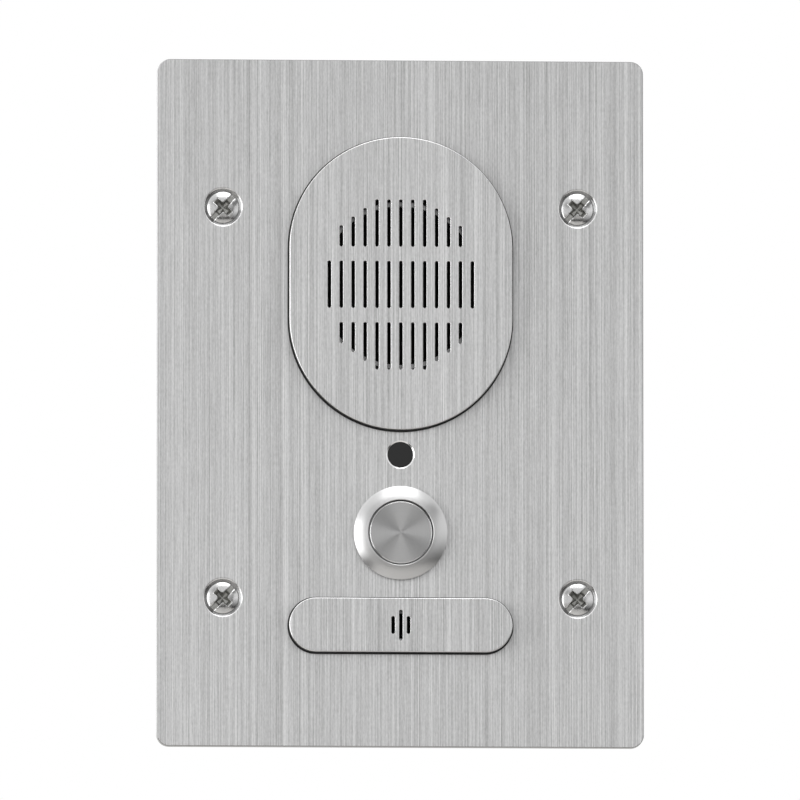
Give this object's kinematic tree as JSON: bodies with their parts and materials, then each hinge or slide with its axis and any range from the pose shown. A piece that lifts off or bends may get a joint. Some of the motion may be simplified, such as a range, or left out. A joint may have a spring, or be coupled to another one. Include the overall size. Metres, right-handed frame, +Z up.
{
  "type": "ip intercom",
  "caption": "Wall intercom with a brushed stainless plate, slotted speaker and microphone covers, a metal push button and a status window, over a rear housing with a network jack.",
  "frame": {"origin": "centre of the four mounting screws, on the wall plane, which is the rear face of the wall seal", "axes": "+X to the caller's right, +Y into the wall along the mounting screws, +Z up along the plate"},
  "size_m": [0.1142, 0.0467, 0.1618],
  "materials": {
    "brushed_stainless": "stainless steel, brushed along its height",
    "polished_stainless": "stainless steel, turned and fine polished",
    "spun_stainless": "stainless steel with a spun face",
    "screw_stainless": "passivated stainless screw steel",
    "plated_steel": "zinc or nickel plated steel",
    "spring_steel": "bright drawn spring steel",
    "seal_rubber": "black moulded rubber",
    "foam": "black closed-cell foam",
    "smoked_window": "smoked polycarbonate",
    "clear_acrylic": "clear moulded acrylic",
    "diode_body": "pale moulded diode package",
    "contact_brass": "plated brass",
    "copper_winding": "enamelled copper wire on a former",
    "ferrite": "sintered ferrite",
    "painted_basket": "black painted steel",
    "mesh_fabric": "woven black mesh",
    "spider_cloth": "resin-dipped cloth",
    "cone_paper": "pressed black paper",
    "fibre_board": "brown fibre board",
    "aluminium_can": "drawn aluminium",
    "housing_abs": "moulded dark grey plastic with a fine grain",
    "board_laminate": "glass laminate with green solder resist",
    "black_plastic": "black moulded plastic",
    "terminal_plastic": "green moulded plastic",
    "white_plastic": "natural white moulded plastic",
    "lead_insulation": "soft insulated hook-up wire"
  },
  "bodies": {
    "station": {"front_plate": "brushed_stainless", "speaker_cover": "brushed_stainless", "microphone_cover": "brushed_stainless", "button_bezel": "polished_stainless", "mounting_screws": "screw_stainless", "housing_screws": "screw_stainless", "wall_seal": "seal_rubber", "speaker_cover_seal": "seal_rubber", "microphone_cover_seal": "seal_rubber", "button_seal": "seal_rubber", "housing_seal": "seal_rubber", "microphone_boot": "seal_rubber", "speaker_surround": "seal_rubber", "speaker_gasket": "foam", "status_lens": "smoked_window", "light_pipe": "clear_acrylic", "status_led": "diode_body", "button_spring": "spring_steel", "switch_terminals": "contact_brass", "network_jack_contacts": "contact_brass", "switch_base": "black_plastic", "button_washer": "plated_steel", "button_nut": "plated_steel", "stud_spacers": "plated_steel", "stud_nuts": "plated_steel", "housing_standoffs": "plated_steel", "board_screws": "plated_steel", "network_jack_shield": "plated_steel", "speaker_clamp": "plated_steel", "microphone_clamp": "plated_steel", "speaker_top_plate": "plated_steel", "speaker_yoke": "plated_steel", "speaker_frame": "painted_basket", "terminal_screws": "plated_steel", "speaker_magnet": "ferrite", "speaker_mesh": "mesh_fabric", "microphone_membrane": "mesh_fabric", "speaker_spider": "spider_cloth", "speaker_terminal_strip": "fibre_board", "microphone_capsule": "aluminium_can", "board_capacitors": "aluminium_can", "rear_housing": "housing_abs", "main_board": "board_laminate", "network_jack": "black_plastic", "terminal_block": "terminal_plastic", "board_chips": "black_plastic", "network_transformer": "black_plastic", "lead_headers": "white_plastic", "lead_plugs": "white_plastic", "speaker_leads": "lead_insulation", "microphone_leads": "lead_insulation", "button_leads": "lead_insulation"},
    "push_button": {"button_cap": "spun_stainless", "button_clip": "spring_steel", "contact_bridge": "contact_brass"},
    "diaphragm": {"speaker_cone": "cone_paper", "dust_cap": "cone_paper", "voice_coil": "copper_winding"}
  },
  "joints": [
    {"name": "button_press", "type": "slide", "parent": "station", "child": "push_button", "axis": [0, 1, 0], "range_m": [0, 0.002], "stiffness_N_per_m": 900, "springref_m": -0.002, "deforming": ["button_spring"]},
    {"name": "cone_travel", "type": "slide", "parent": "station", "child": "diaphragm", "axis": [0, -1, 0], "range_m": [-0.0005, 0.0005], "stiffness_N_per_m": 1500, "deforming": ["speaker_surround", "speaker_spider"]}
  ]
}
